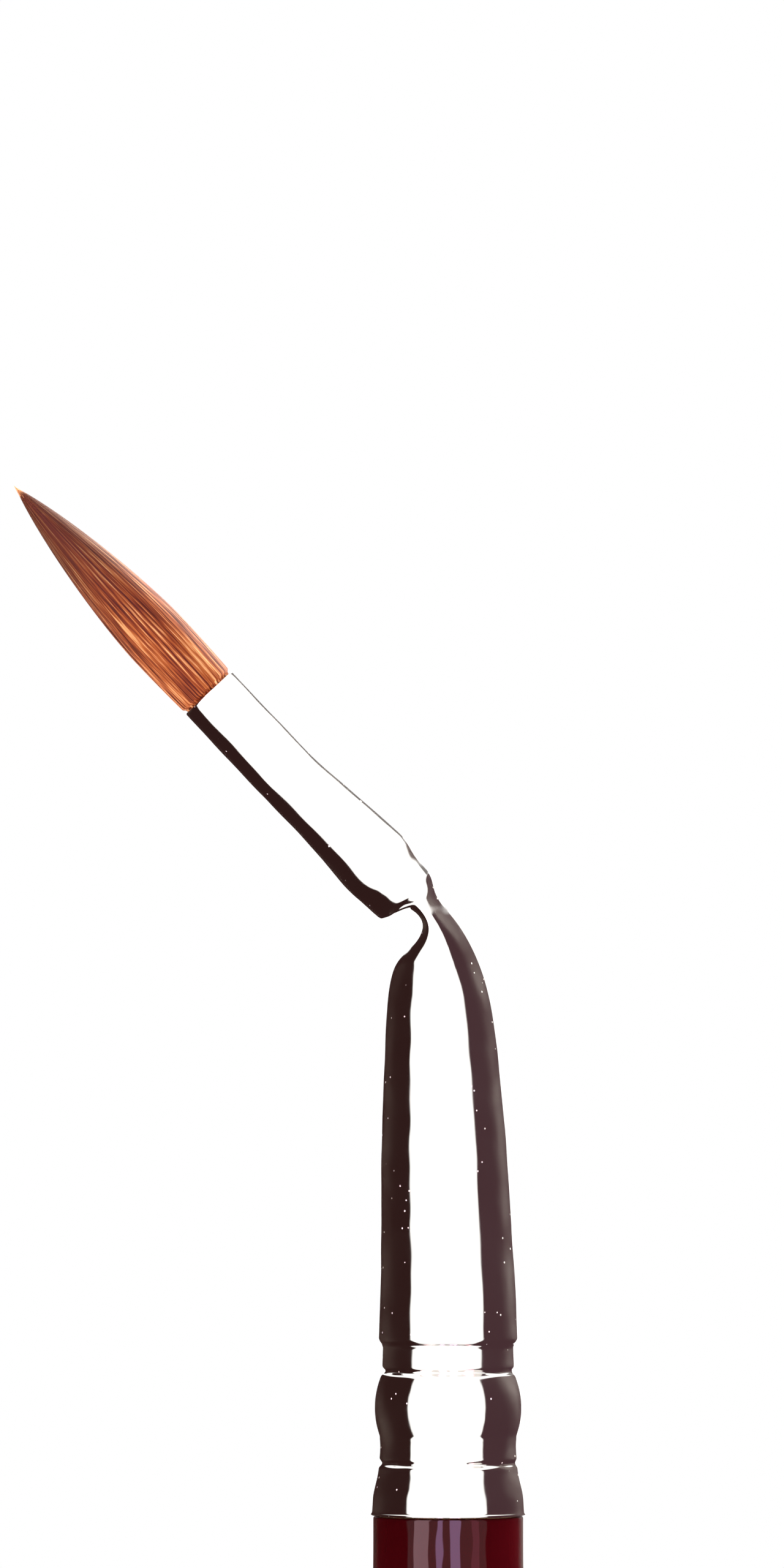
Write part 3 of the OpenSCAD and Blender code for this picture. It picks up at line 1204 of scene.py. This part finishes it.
    def dress(self) -> None:
        """Builds and dresses every piece of the head, and mounts the bundle and the thread on the brush.
        """
        hair = SableHair().build()
        root_hair = SableHair("set_sable_type_hair", tip="#8f3a22").build()
        tree = StrandTree()
        tree.build()
        tuft, heart = self.build_tuft(tree, hair), self.build_heart()
        wear(heart, hair)
        mouth = self.shape.mouth()
        for piece in (tuft, heart):
            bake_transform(piece)
        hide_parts(Part.HAIR_TUFT.value)
        roots = self.build_roots(tree, root_hair)
        mount(roots, root_hair, Part.HAIR_ROOT)
        thread = self.build_thread()
        mount(thread, TwistedCotton().build(), Part.BINDING_THREAD)
        for piece in (tuft, heart):
            LOG.info("%s: %d faces", piece.name, len(piece.data.polygons))


# ---- studio


@dataclass
class Studio:
    """White tent with a pale floor and the camera; its dark flags at both sides and bright strips are
    painted reflections that only glossy surfaces see.
    """

    centre: tuple[float, float] = (-2.04, 49.53)
    height: float = 56.89
    distance: float = 600.0
    floor_z: float = -112.0
    white: float = 1.5
    flag_top: float = 0.78
    lamps: tuple = (
        ((0.6, -0.5, 0.62), 0.55, (1.7, 1.65, 1.6, 1.0)),
        ((0.5, 0.72, 0.48), 0.8, (20.0, 19.0, 17.0, 1.0)),
        ((-0.5, 0.72, -0.48), 0.8, (9.0, 8.0, 6.6, 1.0)),
    )
    # bright strips and dark flags are painted reflections: only glossy rays see them
    strips: tuple = (
        (-55.5, -30.5, (14.0, 9.5, 10.5, 1.0)),
        (-17.5, -8.5, (14.0, 9.0, 16.0, 1.0)),
        (2.5, 18.5, (14.0, 9.5, 16.5, 1.0)),
        (36.5, 48.5, (5.5, 2.4, 3.0, 1.0)),
    )
    flags: tuple = (
        (-172.0, -66.5, (0.036, 0.0145, 0.0135, 1.0)),
        (60.5, 166.0, (0.082, 0.039, 0.047, 1.0)),
    )

    def build(self) -> None:
        """Sets the surroundings, the floor and the camera."""
        bpy.context.scene.view_settings.view_transform = "Standard"
        self.surround()
        self.lay_floor()
        self.place_camera()

    def band(self, value: Socket, low: float, high: float, soft: float) -> Socket:
        """Is 1 between two values and 0 outside, with edges of a given half-width."""
        edges = [ranged(self.tree, value, e - soft, e + soft) for e in (low, high)]
        return step(self.tree, "SUBTRACT", edges[0], edges[1])

    def surround(self) -> None:
        """Paints what glossy surfaces mirror, an even light for matt ones, and a plain backdrop."""
        world = bpy.data.worlds.new("studio")
        bpy.context.scene.world = world
        world.use_nodes = True
        tree = self.tree = world.node_tree
        tree.nodes.clear()
        aim = add_node(tree, "ShaderNodeTexCoord").outputs["Generated"]
        way = add_node(tree, "ShaderNodeSeparateXYZ", {0: aim}).outputs
        front = step(tree, "MULTIPLY", way[1], -1.0)
        round_by = step(tree, "DEGREES", step(tree, "ARCTAN2", way[0], front))
        wide = step(tree, "MAXIMUM", step(tree, "ABSOLUTE", way[0]), 0.0001)
        slope = step(tree, "DIVIDE", way[2], wide)
        below_top = self.band(slope, -1000.0, self.flag_top, 0.05)
        near = self.band(round_by, -60.0, 60.0, 6.0)
        ground = step(tree, "MULTIPLY", self.band(way[2], -2.0, -0.95, 0.02), near)
        colour = paint(tree, ground, (self.white, self.white, self.white, 1.0), linear("#6d5f60"))
        tall = self.band(way[2], -0.6, 0.75, 0.05)
        sides = [(self.strips, 0.8, tall), (self.flags, 1.5, below_top)]
        for cards, soft, upright in sides:
            for low, high, light in cards:
                mask = step(tree, "MULTIPLY", self.band(round_by, low, high, soft), upright)
                colour = paint(tree, mask, colour, light)
        # a far card over the right flag draws the fine line down the neck's edge
        far = self.band(round_by, 154.0, 190.0, 2.0)
        over = self.band(slope, self.flag_top, 1.5, 0.05)
        colour = paint(tree, step(tree, "MULTIPLY", far, over), colour, (0.2, 0.18, 0.18, 1.0))
        path = add_node(tree, "ShaderNodeLightPath").outputs
        mirrored, even, plain = [
            add_node(tree, "ShaderNodeBackground", {"Color": tone}).outputs[0]
            for tone in (colour, self.soft_light(way), (1.0, 1.0, 1.0, 1.0))
        ]
        choice = {0: path["Is Glossy Ray"], 1: even, 2: mirrored}
        lit = add_node(tree, "ShaderNodeMixShader", choice).outputs[0]
        choice = {0: path["Is Camera Ray"], 1: lit, 2: plain}
        seen = add_node(tree, "ShaderNodeMixShader", choice).outputs[0]
        add_node(tree, "ShaderNodeOutputWorld", {"Surface": seen})

    def soft_light(self, way: bpy.types.NodeOutputs) -> Value:
        """Lights matt surfaces: an even fill, a key from the upper right, two rims from behind.

        Args:
            way: the direction's three parts.

        Returns:
            The light's colour.
        """
        tree = self.tree
        colour: Value = (0.8, 0.78, 0.76, 1.0)
        for (x, y, z), low, light in self.lamps:
            along = step(tree, "MULTIPLY", way[0], x)
            along = step(tree, "MULTIPLY_ADD", way[1], y, along)
            along = step(tree, "MULTIPLY_ADD", way[2], z, along)
            colour = paint(tree, self.band(along, low, 10.0, 0.12), colour, light)
        return colour

    def lay_floor(self) -> None:
        """Lays a pale round floor under the tail."""
        count = 96
        angles = np.arange(count) * 2.0 * math.pi / count
        z = self.floor_z - 0.2
        rim = np.stack([400.0 * np.cos(angles), 400.0 * np.sin(angles), np.full(count, z)], 1)
        mesh = bpy.data.meshes.new("floor")
        mesh.from_pydata([tuple(p) for p in rim * MM], [], [tuple(range(count))])
        floor = add_piece("floor", mesh)
        wear(floor, PaleBoard().build())
        floor.visible_glossy = False

    def place_camera(self) -> None:
        """Looks along +Y at the head with a long lens, as a close-up is taken."""
        lens = bpy.data.cameras.new("camera")
        lens.sensor_width = 36.0
        lens.lens = 36.0 * self.distance / self.height
        lens.clip_end = 10.0
        camera = add_piece("camera", lens)
        camera.location = Vector((self.centre[0], -self.distance, self.centre[1])) * MM
        camera.rotation_euler = (math.pi / 2.0, 0.0, 0.0)
        bpy.context.scene.camera = camera


def main() -> None:
    """Builds the brush from the handle to the tip, then the studio round it."""
    logging.basicConfig(level=logging.INFO, format="%(message)s", force=True)
    rim_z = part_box(Part.FERRULE.value)[0].z / MM
    tail_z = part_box(Part.LACQUER_COAT.value)[0].z / MM
    shape = FerruleShape(rim_z=rim_z)
    handle = Handle(rim_z=rim_z, tail_z=tail_z)
    handle.dress(handle.build())
    ferrule = Ferrule(shape)
    ferrule.dress(ferrule.build())
    Head(shape).dress()
    Studio(floor_z=tail_z).build()


if __name__ == "__main__":
    main()
